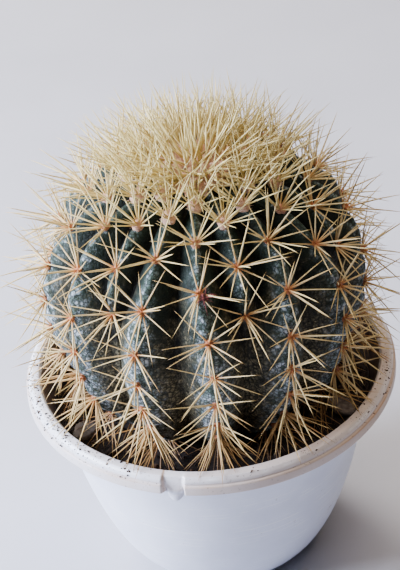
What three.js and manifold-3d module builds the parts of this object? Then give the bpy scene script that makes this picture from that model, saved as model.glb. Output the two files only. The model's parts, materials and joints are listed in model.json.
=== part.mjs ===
// A round, many-ribbed cactus in a white plastic pot. Millimetres, +Z up.
// The origin is the centre of the pot's flat base. Azimuth 0 is the front (-Y) and grows towards +X.
import * as THREE from 'three';
import * as BufferGeometryUtils from 'three/addons/utils/BufferGeometryUtils.js';
import Module from 'manifold-3d';

const wasm = await Module();
wasm.setup();

// ---------------------------------------------------------------- driving dimensions
// pot
const POT_HEIGHT = 122;
const RIM_RADIUS = 100;        // outside of the rim, at the crease between band and skirt
const RIM_INNER_RADIUS = 92.7; // inner edge of the rim band
const BAND_TOP_RADIUS = 96.8;  // where the flat top of the band turns down
const BAND_DROP = 4.4;         // the crease, below the top of the rim
const SKIRT_DROP = 10.1;       // lower edge of the skirt, below the top of the rim
const WALL = 1.8;
const BASE_RADIUS = 46;
const SHOULDER_RADIUS = 80.5;  // where the straight taper meets the bowl
const SHOULDER_DROP = 44;
const POT_SEGMENTS = 40;
const NOTCH_AZIMUTHS = [-14.8, 105.2, 225.2];
const NOTCH_WIDTH = 11.2;
const TAB_WIDTH = 9.6;
const TAB_RADIUS = 95.6;       // middle of the tab's thickness
const TAB_DROP = 17.5;         // lowest point of the tab, below the top of the rim
// soil
const SOIL_DROP = 19;
const SOIL_BUMP = 1.2;
const CLEARANCE = 0.35;
// cactus
const GLOBE_RADIUS = 85.3;     // over the crests of the ribs, at the widest
const EQUATOR_ABOVE_RIM = 53.8;
const UPPER_HEIGHT = 67.1;
const UPPER_POWER = 2.24;
const LOWER_HEIGHT = 87.3;
const LOWER_POWER = 2.14;
const LEAN = { x: 0.021, y: 0.028 }; // sideways shift per millimetre of height
const FURROW_DEPTH = { ends: 3, middle: 13 };
const TOP_RIBS = 19;
const BASE_RIBS = 13;          // every third rib starts above the equator
const TOP_TURN = -4.56;        // azimuth of rib 0 at the top
const BASE_TURN = -0.22;       // and at the base
const BRANCH = { height: 204.4, blend: 9.45 };
const ROWS = 13;
const FOOT = { radius: 42, drop: 10 };       // the globe's underside, below the soil
const ROOT = { top: 20, bottom: 14, drop: 34 }; // the stub of root under it
// spines
const SPINE_LENGTH = { min: 23, max: 29 };
const PAD_RADIUS = 2.2;
const PAD_SINK = 0.6;
const CENTRAL_SPINES = 3;      // of the five upper faces of a pad
const SPINE_GAP = 0.15;
const AREOLE_STEP = { base: 17.8, extra: 9, at: 66, spread: 38 };
const FIRST_AREOLE = new Map([[-3, 35], [-1, 40], [0, 32], [1, 45], [2, 39], [3, 30.5], [4, 41.5]]);
const LOWEST_AREOLE_ABOVE_SOIL = 12;
const SHORT_RIB_LAST_AREOLE = 100;
// crown
const CROWN_RADIUS = 21;
const CROWN_HEIGHT = 8;
const CROWN_NEEDLES = 160;
const NEEDLE_WIDTH = 1.5;
const BRUSH_CONE = 0.7;        // the crown's needles stay inside a cone that opens this much per millimetre
// stone chips
const CHIPS = [
  { name: 'stone_chip_left', azimuth: -66, radius: 77, length: 17, width: 11, turn: 62 },
  { name: 'stone_chip_right', azimuth: 64, radius: 75, length: 20, width: 10, turn: -52 },
];
const CHIP_THICKNESS = 3.2;

// ---------------------------------------------------------------- derived values
const soilTop = POT_HEIGHT - SOIL_DROP;
const equator = POT_HEIGHT + EQUATOR_ABOVE_RIM;
const crownSeatRadius = 23;
const radians = THREE.MathUtils.degToRad;

// seeded draws, so that the plant is the same every time
let seed = 20417;
function random() {
  seed = (seed * 1664525 + 1013904223) % 4294967296;
  return seed / 4294967296;
}
const between = (low, high) => low + (high - low) * random();

function polar(radius, azimuth, z) {
  const a = radians(azimuth);
  return new THREE.Vector3(radius * Math.sin(a), -radius * Math.cos(a), z);
}

// ---------------------------------------------------------------- solids
function toSolid(geometry) {
  const bare = geometry.clone();
  for (const name of ['normal', 'uv']) bare.deleteAttribute(name);
  const merged = BufferGeometryUtils.mergeVertices(bare, 1e-4);
  return new wasm.Manifold(new wasm.Mesh({
    numProp: 3,
    vertProperties: new Float32Array(merged.attributes.position.array),
    triVerts: new Uint32Array(merged.index.array),
  }));
}

function meshGeometry(points, triangles) {
  const geometry = new THREE.BufferGeometry();
  geometry.setAttribute('position', new THREE.Float32BufferAttribute(points.flatMap((p) => [p.x, p.y, p.z]), 3));
  geometry.setIndex(triangles.flat());
  return geometry;
}

function fromSolid(solid) {
  const { vertProperties, triVerts } = solid.getMesh();
  const geometry = new THREE.BufferGeometry();
  geometry.setAttribute('position', new THREE.BufferAttribute(new Float32Array(vertProperties), 3));
  geometry.setIndex(new THREE.BufferAttribute(new Uint32Array(triVerts), 1));
  return geometry;
}

const joinAll = (first, others) => others.reduce((sum, next) => sum.add(next), first);

// joins in pairs, which keeps each step small
function fuse(solids) {
  if (solids.length === 1) return solids[0];
  const half = Math.ceil(solids.length / 2);
  return fuse(solids.slice(0, half)).add(fuse(solids.slice(half)));
}

// a profile of [radius, z] points, from the axis to the axis, turned about Z
function turned(profile, segments) {
  const geometry = new THREE.LatheGeometry(profile.map(([r, z]) => new THREE.Vector2(r, z)), segments);
  geometry.rotateX(Math.PI / 2);
  return geometry;
}

// ---------------------------------------------------------------- pot
// the bowl below the shoulder, from the base up; inset moves it inwards
function bowlPoints(inset) {
  const shoulder = POT_HEIGHT - SHOULDER_DROP;
  const curve = new THREE.CubicBezierCurve(
    new THREE.Vector2(BASE_RADIUS, 0),
    new THREE.Vector2(61, 4),
    new THREE.Vector2(74, 44),
    new THREE.Vector2(SHOULDER_RADIUS, shoulder),
  );
  const steps = 5;
  return Array.from({ length: steps + 1 }, (_, i) => {
    const point = curve.getPoint(i / steps);
    const along = curve.getTangent(i / steps);
    return [point.x - along.y * inset, i === 0 ? point.y + inset : point.y + along.x * inset];
  });
}

const wallTopRadius = RIM_INNER_RADIUS - 0.7;
const wallTop = POT_HEIGHT - 4.5;

function innerWallRadius(z) {
  const shoulder = POT_HEIGHT - SHOULDER_DROP;
  const slope = (wallTopRadius - SHOULDER_RADIUS) / (wallTop - shoulder);
  return SHOULDER_RADIUS + (z - shoulder) * slope - WALL;
}

function makePot() {
  const bandThickness = 1.7;
  const skirtBottom = POT_HEIGHT - SKIRT_DROP;
  const crease = POT_HEIGHT - BAND_DROP;
  const outside = bowlPoints(0);
  const inside = bowlPoints(WALL).reverse();
  const rim = [
    [wallTopRadius + 0.4, wallTop],
    [BAND_TOP_RADIUS - 1, POT_HEIGHT - 2.2],
    [RIM_RADIUS - 1.9, crease - bandThickness],
    [RIM_RADIUS - 1.4, skirtBottom],
    [RIM_RADIUS + 0.3, skirtBottom],
    [RIM_RADIUS - 0.3, crease],
    [BAND_TOP_RADIUS, POT_HEIGHT - 0.3],
    [RIM_INNER_RADIUS, POT_HEIGHT],
    [innerWallRadius(wallTop), wallTop],
  ];
  const shell = toSolid(turned([[0, 0], ...outside, ...rim, ...inside, [0, WALL]], POT_SEGMENTS));
  const tabs = NOTCH_AZIMUTHS.map((azimuth) => toSolid(tabGeometry(azimuth)));
  const notches = NOTCH_AZIMUTHS.map((azimuth) => toSolid(notchGeometry(azimuth)));
  return notches.reduce((pot, notch) => pot.subtract(notch), joinAll(shell, tabs));
}

// turns a piece drawn at the front, with X across, to its azimuth
function placeAround(geometry, azimuth) {
  return geometry.rotateZ(radians(azimuth));
}

// a plate with a half-round lower end, hanging from the band
function tabGeometry(azimuth) {
  const half = TAB_WIDTH / 2;
  const top = -1.2;
  const thickness = 1.8;
  const outline = new THREE.Shape();
  outline.moveTo(half, top);
  outline.lineTo(-half, top);
  outline.lineTo(-half, -TAB_DROP + half);
  outline.absarc(0, -TAB_DROP + half, half, Math.PI, 2 * Math.PI, false);
  const plate = new THREE.ExtrudeGeometry(outline, { depth: thickness, bevelEnabled: false, curveSegments: 8 });
  plate.rotateX(Math.PI / 2);
  plate.translate(0, -TAB_RADIUS + thickness / 2, POT_HEIGHT);
  return placeAround(plate, azimuth);
}

// cuts the skirt and the outer part of the band away in front of the tab
function notchGeometry(azimuth) {
  const innerFace = TAB_RADIUS + 1.0;
  const depth = RIM_RADIUS + 2 - innerFace;
  const height = SKIRT_DROP + 2;
  const block = new THREE.BoxGeometry(NOTCH_WIDTH, depth, height);
  block.translate(0, -innerFace - depth / 2, POT_HEIGHT - height / 2 + 1);
  return placeAround(block, azimuth);
}

// ---------------------------------------------------------------- outline of the globe
// the outline over the crests, cut into short steps from the top down: arc length, radius, height, normal
function globeOutline() {
  const steps = 1600;
  const points = [];
  let arc = 0;
  for (let i = 0; i <= steps; i += 1) {
    const angle = (0.985 * Math.PI * i) / steps;
    const upper = angle <= Math.PI / 2;
    const power = upper ? UPPER_POWER : LOWER_POWER;
    const height = upper ? UPPER_HEIGHT : LOWER_HEIGHT;
    const r = GLOBE_RADIUS * Math.sin(angle) ** (2 / power);
    const z = equator + Math.sign(Math.cos(angle)) * height * Math.abs(Math.cos(angle)) ** (2 / power);
    if (i > 0) arc += Math.hypot(r - points[i - 1].r, z - points[i - 1].z);
    points.push({ arc, r, z });
  }
  return points;
}
const outline = globeOutline();

function outlineAt(arc) {
  const i = outline.findIndex((p) => p.arc >= arc);
  const a = outline[Math.max(i - 1, 0)];
  const b = outline[i];
  const t = (arc - a.arc) / (b.arc - a.arc || 1);
  const length = Math.hypot(b.r - a.r, b.z - a.z) || 1;
  return {
    r: a.r + (b.r - a.r) * t,
    z: a.z + (b.z - a.z) * t,
    normalR: -(b.z - a.z) / length,
    normalZ: (b.r - a.r) / length,
  };
}
const arcWhere = (test) => outline.find(test).arc;
const firstArc = arcWhere((p) => p.r >= crownSeatRadius);
const soilArc = arcWhere((p) => p.z <= soilTop);

// the plant leans a little above the soil
function lean(point) {
  const rise = Math.max(point.z - soilTop, 0);
  return point.setX(point.x + LEAN.x * rise).setY(point.y + LEAN.y * rise);
}

// ---------------------------------------------------------------- ribs
// ribs are numbered from -9 to 9 around the top, rib 0 faces the front, and rib 10 is rib -9 again
const lastRib = (TOP_RIBS - 1) / 2;
const ribNumbers = Array.from({ length: TOP_RIBS }, (_, i) => i - lastRib);
const isShortRib = (rib) => rib <= lastRib && (((rib % 3) + 3) % 3) === 1;

// 1 above the branching height, 0 below it
const topShare = (z) => 1 / (1 + Math.exp((BRANCH.height - z) / BRANCH.blend));

function ribAzimuth(rib, z) {
  if (rib > lastRib) return ribAzimuth(rib - TOP_RIBS, z) + 360;
  const group = Math.floor(rib / 3);
  const basePlace = 2 * group + (rib - 3 * group) / 2;
  const top = TOP_TURN + (360 / TOP_RIBS) * rib;
  const base = BASE_TURN + (360 / BASE_RIBS) * basePlace;
  return THREE.MathUtils.lerp(base, top, topShare(z));
}

// how wide and high a rib is: a short rib shrinks away below the branching height
const ribStrength = (rib, z) => (isShortRib(rib) ? Math.max(topShare(z), 0.07) : 1);

function furrowAzimuth(rib, z) {
  const here = ribAzimuth(rib, z);
  const next = ribAzimuth(rib + 1, z);
  const mine = ribStrength(rib, z);
  const other = ribStrength(rib + 1, z);
  return here + ((next - here) * mine) / (mine + other);
}

function furrowDepth(arc) {
  const share = THREE.MathUtils.clamp((arc - firstArc) / (soilArc + 8 - firstArc), 0, 1);
  const { ends, middle } = FURROW_DEPTH;
  return ends + (middle - ends) * Math.sin(Math.PI * share) ** 0.8;
}

// a point of the skin: height 1 is the crest of a full rib and 0 the bottom of a furrow
function skinPoint(arc, azimuth, height) {
  const at = outlineAt(arc);
  const sunk = furrowDepth(arc) * (1 - height);
  return lean(polar(at.r - at.normalR * sunk, azimuth, at.z - at.normalZ * sunk));
}

// one row of the skin: crest, flank, furrow and flank for each rib
function skinRow(arc) {
  const { z } = outlineAt(arc);
  const flankHeight = 0.67;
  return ribNumbers.flatMap((rib) => {
    const crest = ribAzimuth(rib, z);
    const furrow = furrowAzimuth(rib, z);
    const nextCrest = ribAzimuth(rib + 1, z);
    const mine = ribStrength(rib, z);
    const next = ribStrength(rib + 1, z);
    return [
      skinPoint(arc, crest, mine),
      skinPoint(arc, (crest + furrow) / 2, mine * flankHeight),
      skinPoint(arc, furrow, 0),
      skinPoint(arc, (furrow + nextCrest) / 2, next * flankHeight),
    ];
  });
}

// joins rows of points, from the top down, into a closed skin
function closedSkin(rows, topCentre, bottomCentre) {
  const count = rows[0].length;
  const points = [...rows.flat(), topCentre, bottomCentre];
  const topIndex = points.length - 2;
  const bottomIndex = points.length - 1;
  const triangles = [];
  rows.forEach((_, row) => {
    for (let i = 0; i < count; i += 1) {
      const j = (i + 1) % count;
      const here = row * count;
      if (row === 0) triangles.push([topIndex, i, j]);
      if (row === rows.length - 1) {
        triangles.push([here + i, bottomIndex, here + j]);
      } else {
        triangles.push([here + i, here + count + i, here + j], [here + j, here + count + i, here + count + j]);
      }
    }
  });
  return meshGeometry(points, triangles);
}

function roundRow(radius, z, count) {
  const turn = ribAzimuth(ribNumbers[0], z);
  return Array.from({ length: count }, (_, i) => lean(polar(radius, turn + (360 * i) / count, z)));
}

const crownSeat = outlineAt(firstArc).z - FURROW_DEPTH.ends;

function makeGlobe() {
  const rows = Array.from({ length: ROWS }, (_, i) => skinRow(firstArc + ((soilArc - firstArc) * i) / (ROWS - 1)));
  const count = rows[0].length;
  const footHeight = soilTop - FOOT.drop;
  const body = closedSkin(
    [roundRow(crownSeatRadius - 1.2, crownSeat, count), ...rows, roundRow(FOOT.radius, footHeight, count)],
    lean(new THREE.Vector3(0, 0, crownSeat)),
    new THREE.Vector3(0, 0, footHeight),
  );
  const rootTop = footHeight + 2;
  const rootBottom = soilTop - ROOT.drop;
  const root = closedSkin(
    [roundRow(ROOT.top, rootTop, 16), roundRow(ROOT.bottom, rootBottom, 16)],
    new THREE.Vector3(0, 0, rootTop),
    new THREE.Vector3(0, 0, rootBottom),
  );
  return toSolid(body).add(toSolid(root));
}

// ---------------------------------------------------------------- room for the spines
// the crown's brush has the cone over the middle, and the clusters on the ribs have the space around it
function insideBrushCone(point, margin) {
  const rise = point.z - crownSeat;
  if (rise < 0) return false;
  const axis = lean(new THREE.Vector3(0, 0, point.z));
  const radius = Math.hypot(point.x - axis.x, point.y - axis.y);
  return radius < crownSeatRadius + rise * BRUSH_CONE + margin;
}

// above the soil and its chips, inside the pot's wall or over its rim
function aboveSoilAndPot(point) {
  const radius = Math.hypot(point.x, point.y);
  const overRim = radius > innerWallRadius(soilTop) - 2.5;
  const floor = overRim ? POT_HEIGHT + 1.5 : soilTop + SOIL_BUMP + (radius > 64 ? CHIP_THICKNESS + 1.5 : 1.5);
  return point.z > floor;
}

function alongIsClear(from, to, test) {
  return [0.25, 0.5, 0.75, 1].every((t) => test(from.clone().lerp(to, t)));
}

// the gap between two tapered spines, each { root, tip, radius }
function gapBetween(one, other) {
  const u = one.tip.clone().sub(one.root);
  const v = other.tip.clone().sub(other.root);
  const w = one.root.clone().sub(other.root);
  const [a, b, c, d, e] = [u.dot(u), u.dot(v), v.dot(v), u.dot(w), v.dot(w)];
  const limit = (value) => THREE.MathUtils.clamp(value, 0, 1);
  const s = limit((b * e - c * d) / Math.max(a * c - b * b, 1e-6));
  const t = limit((b * s + e) / c);
  const sAgain = limit((b * t - d) / a);
  const apart = one.root.clone().addScaledVector(u, sAgain).distanceTo(other.root.clone().addScaledVector(v, t));
  return apart - one.radius * (1 - sAgain) - other.radius * (1 - t);
}

// spines that are already placed, with the cluster that each belongs to
const placed = [];

function missesOthers(spine) {
  const others = placed.filter((other) => other.cluster !== spine.cluster && other.root.distanceTo(spine.root) < 62);
  return others.every((other) => gapBetween(spine, other) > SPINE_GAP);
}

// the tip of a spine: its direction is varied a little more at each try until isClear accepts it
function placeSpine(cluster, root, radius, direction, length, isClear) {
  const heading = direction.clone().normalize();
  let spine = { cluster, root, tip: root.clone().addScaledVector(heading, length), radius };
  for (let attempt = 0; attempt < 60; attempt += 1) {
    const spread = 0.08 + attempt * 0.012;
    const aside = new THREE.Vector3(between(-1, 1), between(-1, 1), between(-1, 1)).multiplyScalar(spread);
    const tip = root.clone().addScaledVector(heading.clone().add(aside).normalize(), length);
    const trial = { cluster, root, tip, radius };
    const { fits, push } = isClear(trial);
    if (fits) spine = trial;
    if (fits && missesOthers(trial)) break;
    heading.add(push).normalize();
  }
  placed.push(spine);
  return spine.tip;
}

// ---------------------------------------------------------------- clusters of spines
// where the felt pads sit on a rib, as arc lengths from the top
function areoleArcs(rib) {
  const lowest = arcWhere((p) => p.z <= soilTop + LOWEST_AREOLE_ABOVE_SOIL);
  const last = isShortRib(rib) ? SHORT_RIB_LAST_AREOLE : lowest;
  const arcs = [];
  let arc = FIRST_AREOLE.get(rib) ?? (rib % 2 === 0 ? 27 : 37);
  while (arc <= last) {
    arcs.push(arc);
    const { base, extra, at, spread } = AREOLE_STEP;
    arc += base + extra * Math.exp(-(((arc - at) / spread) ** 2));
  }
  return arcs;
}

// a small pad whose outer faces are each drawn out to the point of a spine
function spineCluster(rib, arc) {
  const at = outlineAt(arc);
  const azimuth = ribAzimuth(rib, at.z);
  const outward = polar(1, azimuth, 0);
  const normal = outward.clone().multiplyScalar(at.normalR).setZ(at.normalZ).normalize();
  const strength = ribStrength(rib, at.z);
  const centre = skinPoint(arc, azimuth, strength).addScaledVector(normal, -PAD_SINK);
  const ball = new THREE.IcosahedronGeometry(PAD_RADIUS, 0);
  const pole = new THREE.Vector3().fromBufferAttribute(ball.attributes.position, 0).normalize();
  const turn = new THREE.Quaternion().setFromUnitVectors(pole, normal);
  turn.premultiply(new THREE.Quaternion().setFromAxisAngle(normal, between(0, 2 * Math.PI)));
  ball.applyQuaternion(turn).translate(centre.x, centre.y, centre.z);
  // a spine on a rib that is dying out stands up more, clear of the ribs beside it
  const lowestRise = 0.08 + 0.5 * (1 - strength);
  const isClear = ({ root, tip }) => {
    const offCrown = alongIsClear(root, tip, (p) => !insideBrushCone(p, 1));
    const offPot = alongIsClear(root, tip, aboveSoilAndPot);
    const offSkin = tip.clone().sub(root).normalize().dot(normal) > lowestRise;
    const push = new THREE.Vector3();
    if (!offCrown) push.addScaledVector(outward, 0.12);
    if (!offPot) push.z += 0.12;
    if (!offSkin) push.addScaledVector(normal, 0.1);
    return { fits: offCrown && offPot && offSkin, push };
  };
  let centrals = 0;
  const cluster = `${rib}:${arc}`;
  return toSolid(drawnOut(ball, centre, (direction) => {
    const rise = direction.dot(normal);
    if (rise < 0) return null;
    if (rise > 0.5) centrals += 1;
    if (rise > 0.5 && centrals > CENTRAL_SPINES) return null;
    const length = between(SPINE_LENGTH.min, SPINE_LENGTH.max);
    return placeSpine(cluster, centre, PAD_RADIUS * 0.6, direction, length, isClear);
  }));
}

// replaces each face for which tipFor gives a point by a three-sided spine that ends there
function drawnOut(ball, centre, tipFor) {
  const position = ball.attributes.position;
  const corner = (i) => new THREE.Vector3().fromBufferAttribute(position, i);
  const coordinates = [];
  const addTriangle = (a, b, c) => coordinates.push(...a.toArray(), ...b.toArray(), ...c.toArray());
  for (let i = 0; i < position.count; i += 3) {
    const [a, b, c] = [corner(i), corner(i + 1), corner(i + 2)];
    const direction = a.clone().add(b).add(c).divideScalar(3).sub(centre).normalize();
    const tip = tipFor(direction);
    if (tip) {
      addTriangle(a, b, tip);
      addTriangle(b, c, tip);
      addTriangle(c, a, tip);
    } else {
      addTriangle(a, b, c);
    }
  }
  const geometry = new THREE.BufferGeometry();
  geometry.setAttribute('position', new THREE.Float32BufferAttribute(coordinates, 3));
  return geometry;
}

function makeStem() {
  const clusters = ribNumbers.flatMap((rib) => areoleArcs(rib).map((arc) => spineCluster(rib, arc)));
  return makeGlobe().add(fuse(clusters));
}

// ---------------------------------------------------------------- crown
// one three-sided needle with its root at a point
function needle(root, tip) {
  const along = tip.clone().sub(root).normalize();
  const side = new THREE.Vector3(0.3, 0.5, 0.8).cross(along).normalize();
  const corners = [0, 1, 2].map((i) => side.clone().applyAxisAngle(along, (2 * Math.PI * i) / 3)
    .multiplyScalar(NEEDLE_WIDTH / Math.sqrt(3)).add(root));
  return toSolid(meshGeometry([...corners, tip], [[0, 2, 1], [0, 1, 3], [1, 2, 3], [2, 0, 3]]));
}

// a low dome of wool with needles over all of it, spaced by the golden angle
function makeCrown() {
  const floor = crownSeat + CLEARANCE;
  const rings = 4;
  const dome = Array.from({ length: rings + 1 }, (_, i) => {
    const angle = (Math.PI / 2) * (1 - i / rings);
    return [CROWN_RADIUS * Math.sin(angle), floor + 1.5 + (CROWN_HEIGHT - 1.5) * Math.cos(angle)];
  });
  const goldenAngle = 137.508;
  const axis = lean(new THREE.Vector3(0, 0, crownSeat));
  const wool = toSolid(turned([[0, floor], [CROWN_RADIUS - 1, floor], ...dome], 18)
    .translate(axis.x, axis.y, 0));
  const needles = Array.from({ length: CROWN_NEEDLES }, (_, i) => {
    const share = Math.sqrt((i + 0.5) / CROWN_NEEDLES);
    const azimuth = i * goldenAngle;
    const height = floor + 1.5 + (CROWN_HEIGHT - 1.5) * Math.sqrt(1 - 0.95 * share * share) - 2.2;
    const root = polar((CROWN_RADIUS - 1.5) * share, azimuth, height).add(new THREE.Vector3(axis.x, axis.y, 0));
    const flare = share * 0.72 + between(-0.14, 0.16);
    const heading = polar(Math.sin(flare), azimuth + between(-25, 25), Math.cos(flare));
    const length = between(SPINE_LENGTH.min, SPINE_LENGTH.max) + 2;
    return needle(root, placeSpine(`crown:${i}`, root, NEEDLE_WIDTH / 2, heading, length, insideBrush));
  });
  return wool.add(fuse(needles));
}

function insideBrush({ root, tip }) {
  const fits = alongIsClear(root, tip, (p) => insideBrushCone(p, -1));
  return { fits, push: new THREE.Vector3(0, 0, fits ? 0 : 0.1) };
}

// ---------------------------------------------------------------- soil
// height of the surface: gently uneven, level around the stem and under the chips
function soilHeight(radius, azimuth) {
  const a = radians(azimuth);
  const waves = Math.sin(3 * a + 0.6) + 0.7 * Math.sin(7 * a + 2) + 0.5 * Math.sin(radius * 0.31);
  const point = polar(radius, azimuth, 0);
  const underChip = CHIPS.some((chip) => polar(chip.radius, chip.azimuth, 0).distanceTo(point) < 17);
  return underChip ? soilTop : soilTop + (SOIL_BUMP * waves) / 2.2;
}

function makeSoil() {
  const gap = CLEARANCE + 0.35;
  const foot = outlineAt(soilArc).r;
  const floor = WALL + CLEARANCE;
  const side = bowlPoints(WALL + gap).map(([r, z], i) => [r, i === 0 ? floor : z]);
  const surface = [foot + 30, foot + 20, foot + 9].map((radius) => [radius, soilTop]);
  const footHeight = soilTop - FOOT.drop - CLEARANCE;
  const hole = [
    [foot + gap, soilTop],
    [FOOT.radius + gap, footHeight],
    [ROOT.top + gap, footHeight],
    [ROOT.bottom + gap, soilTop - ROOT.drop - CLEARANCE],
    [0, soilTop - ROOT.drop - CLEARANCE],
  ];
  const profile = [[0, floor], ...side, [innerWallRadius(soilTop) - gap, soilTop], ...surface, ...hole];
  const geometry = turned(profile, POT_SEGMENTS);
  const position = geometry.attributes.position;
  for (let i = 0; i < position.count; i += 1) {
    const [x, y, z] = [position.getX(i), position.getY(i), position.getZ(i)];
    const radius = Math.hypot(x, y);
    const azimuth = THREE.MathUtils.radToDeg(Math.atan2(x, -y));
    if (Math.abs(z - soilTop) < 0.01 && radius > foot + 2) position.setZ(i, soilHeight(radius, azimuth));
  }
  return toSolid(geometry);
}

// ---------------------------------------------------------------- stone chips
// a flat broken flake with seven uneven sides
function makeChip({ azimuth, radius, length, width, turn }) {
  const corners = 7;
  const outlineShape = new THREE.Shape(Array.from({ length: corners }, (_, i) => {
    const a = (2 * Math.PI * i) / corners;
    const reach = between(0.85, 1);
    return new THREE.Vector2((length / 2) * Math.cos(a) * reach, (width / 2) * Math.sin(a) * reach);
  }));
  const bevel = 0.8;
  const flake = new THREE.ExtrudeGeometry(outlineShape, {
    depth: CHIP_THICKNESS - 2 * bevel,
    bevelThickness: bevel,
    bevelSize: bevel,
    bevelSegments: 1,
  });
  const place = polar(radius, azimuth, soilTop + CLEARANCE + bevel);
  flake.rotateZ(radians(turn)).translate(place.x, place.y, place.z);
  return toSolid(flake);
}

// ---------------------------------------------------------------- the assembly
const finishes = {
  pot: new THREE.MeshStandardMaterial({ color: '#dfe0e6', roughness: 0.4, metalness: 0 }),
  soil: new THREE.MeshStandardMaterial({ color: '#2a1f19', roughness: 0.95, metalness: 0 }),
  stem: new THREE.MeshStandardMaterial({ color: '#3f5750', roughness: 0.7, metalness: 0 }),
  crown: new THREE.MeshStandardMaterial({ color: '#cdb483', roughness: 0.6, metalness: 0 }),
  stone: new THREE.MeshStandardMaterial({ color: '#8b827c', roughness: 0.85, metalness: 0 }),
};

const plant = new THREE.Group();

function addPiece(name, solid, material) {
  const piece = new THREE.Mesh(fromSolid(solid), material);
  piece.name = name;
  plant.add(piece);
}

addPiece('pot', makePot(), finishes.pot);
addPiece('soil', makeSoil(), finishes.soil);
addPiece('cactus_stem', makeStem(), finishes.stem);
addPiece('cactus_crown', makeCrown(), finishes.crown);
CHIPS.forEach((chip) => addPiece(chip.name, makeChip(chip), finishes.stone));

export default plant;
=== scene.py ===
"""The looks of a round cactus in a white plastic pot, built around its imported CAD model.

Lengths in this script are millimetres until they are laid into a mesh, which is in metres.
+Z is up, the pot stands on Z = 0, and azimuth 0 is the front (-Y), growing towards +X.
"""
import json
import math
import random
from contextlib import contextmanager
from functools import partial

import bpy
import numpy as np
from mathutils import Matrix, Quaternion, Vector, noise
from mathutils.bvhtree import BVHTree

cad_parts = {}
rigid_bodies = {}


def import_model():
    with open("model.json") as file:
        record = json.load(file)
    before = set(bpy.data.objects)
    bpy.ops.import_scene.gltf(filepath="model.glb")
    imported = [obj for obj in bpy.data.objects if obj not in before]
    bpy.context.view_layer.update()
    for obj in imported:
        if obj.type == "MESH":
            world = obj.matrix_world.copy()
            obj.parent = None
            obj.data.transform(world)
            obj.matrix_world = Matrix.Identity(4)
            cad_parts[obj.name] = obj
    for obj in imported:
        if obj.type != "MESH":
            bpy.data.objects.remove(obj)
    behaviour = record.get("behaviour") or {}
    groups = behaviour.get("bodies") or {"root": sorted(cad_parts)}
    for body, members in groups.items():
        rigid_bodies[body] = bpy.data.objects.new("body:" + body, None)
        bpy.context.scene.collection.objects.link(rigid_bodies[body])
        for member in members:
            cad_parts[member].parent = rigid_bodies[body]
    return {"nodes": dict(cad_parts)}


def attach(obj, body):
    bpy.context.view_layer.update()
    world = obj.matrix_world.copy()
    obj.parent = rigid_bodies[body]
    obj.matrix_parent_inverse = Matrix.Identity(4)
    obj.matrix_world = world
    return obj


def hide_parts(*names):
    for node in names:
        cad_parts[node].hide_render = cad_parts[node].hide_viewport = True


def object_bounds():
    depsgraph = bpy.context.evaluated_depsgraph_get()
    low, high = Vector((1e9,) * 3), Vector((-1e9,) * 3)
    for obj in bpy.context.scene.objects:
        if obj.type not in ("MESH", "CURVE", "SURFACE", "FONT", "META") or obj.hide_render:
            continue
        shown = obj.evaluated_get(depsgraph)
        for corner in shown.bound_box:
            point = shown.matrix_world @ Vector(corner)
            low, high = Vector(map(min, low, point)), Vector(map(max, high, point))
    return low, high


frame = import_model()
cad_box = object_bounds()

MM = 0.001
draw = random.Random(20417)

# ------------------------------------------------------------------ driving sizes, as in the CAD source
POT_HEIGHT = 122
RIM_RADIUS = 100
RIM_INNER_RADIUS = 92.7
BAND_TOP_RADIUS = 96.8
BAND_DROP = 4.4
SKIRT_DROP = 10.1
WALL = 1.8
BASE_RADIUS = 46
SHOULDER_RADIUS = 80.5
SHOULDER_HEIGHT = 78
NOTCH_AZIMUTHS = (-14.8, 105.2, 225.2)
NOTCH_WIDTH = 11.2
TAB_WIDTH = 9.6
TAB_DROP = 17.5

SOIL_TOP = 103

GLOBE_RADIUS = 85.3
EQUATOR = 175.8
UPPER_HEIGHT, UPPER_POWER = 67.1, 2.24
LOWER_HEIGHT, LOWER_POWER = 87.3, 2.14
LEAN_X, LEAN_Y = 0.021, 0.028
TOP_RIBS, BASE_RIBS = 19, 13
TOP_TURN, BASE_TURN = -4.56, -0.22
BRANCH_HEIGHT, BRANCH_BLEND = 204.4, 9.45
FOOT_RADIUS, FOOT_DROP = 42, 10
ROOT_TOP_RADIUS, ROOT_BOTTOM_RADIUS, ROOT_DROP = 20, 14, 34
CROWN_SEAT_RADIUS = 23

LAST_RIB = (TOP_RIBS - 1) // 2
RIBS = range(-LAST_RIB, LAST_RIB + 1)

GOLDEN_ANGLE = 137.508          # degrees from one thing to the next where many spread evenly over a round


# ------------------------------------------------------------------ mesh helpers
def clear_selection():
    if bpy.context.object and bpy.context.object.mode != "OBJECT":
        bpy.ops.object.mode_set(mode="OBJECT")
    bpy.ops.object.select_all(action="DESELECT")


def pick(piece):
    clear_selection()
    piece.select_set(True)
    bpy.context.view_layer.objects.active = piece


def new_piece(name):
    """The primitive that was just added, named, with its place moved into its mesh."""
    piece = bpy.context.object
    piece.name = name
    piece.data.name = name
    bpy.ops.object.transform_apply(location=True, rotation=True, scale=True)
    return piece


def points_of(piece):
    flat = np.empty(len(piece.data.vertices) * 3)
    piece.data.vertices.foreach_get("co", flat)
    return flat.reshape(-1, 3)


def lay_points(piece, points):
    piece.data.vertices.foreach_set("co", np.asarray(points, dtype=np.float32).ravel())
    piece.data.update()


def write_values(piece, name, values):
    """Stores one number a vertex, which the piece's material reads."""
    layer = piece.data.attributes.get(name) or piece.data.attributes.new(name, "FLOAT", "POINT")
    count = len(piece.data.vertices)
    layer.data.foreach_set("value", np.broadcast_to(np.asarray(values, dtype=np.float32), count))


@contextmanager
def editing(piece, everything=True):
    """Edit mode, with all of the piece selected unless its points are already chosen."""
    pick(piece)
    bpy.ops.object.mode_set(mode="EDIT")
    if everything:
        bpy.ops.mesh.select_all(action="SELECT")
    yield
    bpy.ops.object.mode_set(mode="OBJECT")


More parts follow.
